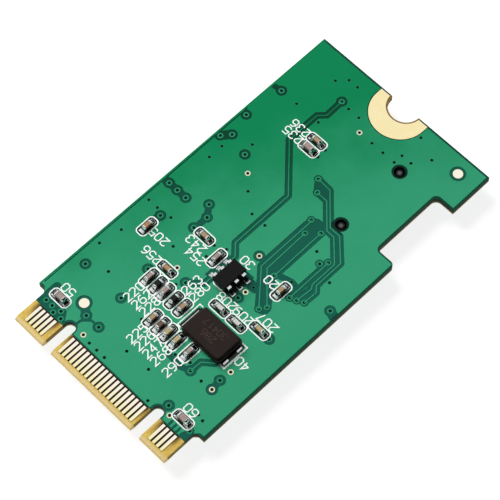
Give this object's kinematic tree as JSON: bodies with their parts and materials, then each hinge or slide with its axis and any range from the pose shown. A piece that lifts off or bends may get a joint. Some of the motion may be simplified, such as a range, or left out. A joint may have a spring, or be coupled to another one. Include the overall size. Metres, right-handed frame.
{
  "type": "memory card adapter board",
  "caption": "Flat plug-in circuit board with a notched card edge, a half-round screw notch, small surface parts and a memory card socket on its underside.",
  "frame": {"origin": "middle of the mating edge, at half the board's thickness", "axes": "+X along the mating edge, +Y from the edge fingers to the screw notch, +Z out of the face that carries the small parts"},
  "size_m": [0.022, 0.042, 0.0033],
  "materials": {
    "laminate": "green solder mask over glass laminate, satin",
    "gold": "thin gold over copper, smooth",
    "tin": "tin plating and solder, bright",
    "tan_ceramic": "fired ceramic, tan, satin",
    "orange_ceramic": "fired ceramic, orange-tan, satin",
    "mauve_ceramic": "fired ceramic, grey-mauve, satin",
    "pale_ceramic": "fired ceramic, pale grey, satin",
    "yellow_ceramic": "fired ceramic, yellow-tan, satin",
    "brown_ceramic": "fired ceramic, dark brown, satin",
    "ferrite": "sintered ferrite, black, satin",
    "resistor_ceramic": "white ceramic with a black glaze on top",
    "moulding": "moulded epoxy, black, matt",
    "crystal_ceramic": "dark brown ceramic, matt",
    "shell_steel": "stainless sheet, fine brushed",
    "housing_plastic": "black moulded plastic, matt",
    "spring_alloy": "gold-flashed copper alloy, smooth"
  },
  "bodies": {
    "root": {"capacitor_1": "tan_ceramic", "capacitor_10": "pale_ceramic", "capacitor_11": "mauve_ceramic", "capacitor_12": "mauve_ceramic", "capacitor_13": "tan_ceramic", "capacitor_14": "tan_ceramic", "capacitor_15": "brown_ceramic", "capacitor_16": "yellow_ceramic", "capacitor_17": "yellow_ceramic", "capacitor_18": "mauve_ceramic", "capacitor_19": "mauve_ceramic", "capacitor_2": "mauve_ceramic", "capacitor_20": "mauve_ceramic", "capacitor_21": "tan_ceramic", "capacitor_22": "tan_ceramic", "capacitor_23": "tan_ceramic", "capacitor_24": "tan_ceramic", "capacitor_25": "tan_ceramic", "capacitor_26": "tan_ceramic", "capacitor_3": "tan_ceramic", "capacitor_4": "mauve_ceramic", "capacitor_5": "orange_ceramic", "capacitor_6": "orange_ceramic", "capacitor_7": "tan_ceramic", "capacitor_8": "yellow_ceramic", "capacitor_9": "pale_ceramic", "chip_end_caps_lower": "tin", "chip_end_caps_upper": "tin", "circuit_board": "laminate", "contact_1": "spring_alloy", "contact_2": "spring_alloy", "contact_3": "spring_alloy", "contact_4": "spring_alloy", "contact_5": "spring_alloy", "contact_6": "spring_alloy", "contact_7": "spring_alloy", "contact_8": "spring_alloy", "controller_body": "moulding", "controller_leads": "tin", "crystal_base": "crystal_ceramic", "crystal_lid": "crystal_ceramic", "crystal_terminals": "tin", "detect_spring": "spring_alloy", "edge_fingers_lower": "gold", "edge_fingers_upper": "gold", "ferrite_bead_1": "ferrite", "ferrite_bead_2": "ferrite", "fiducial_marks": "gold", "regulator_body": "moulding", "regulator_leads": "tin", "resistor_1": "resistor_ceramic", "resistor_2": "resistor_ceramic", "resistor_3": "resistor_ceramic", "resistor_4": "resistor_ceramic", "screw_land_lower": "gold", "screw_land_upper": "gold", "socket_housing": "housing_plastic", "socket_shell": "shell_steel", "solder_lands_lower": "tin", "solder_lands_upper": "tin"}
  },
  "joints": []
}
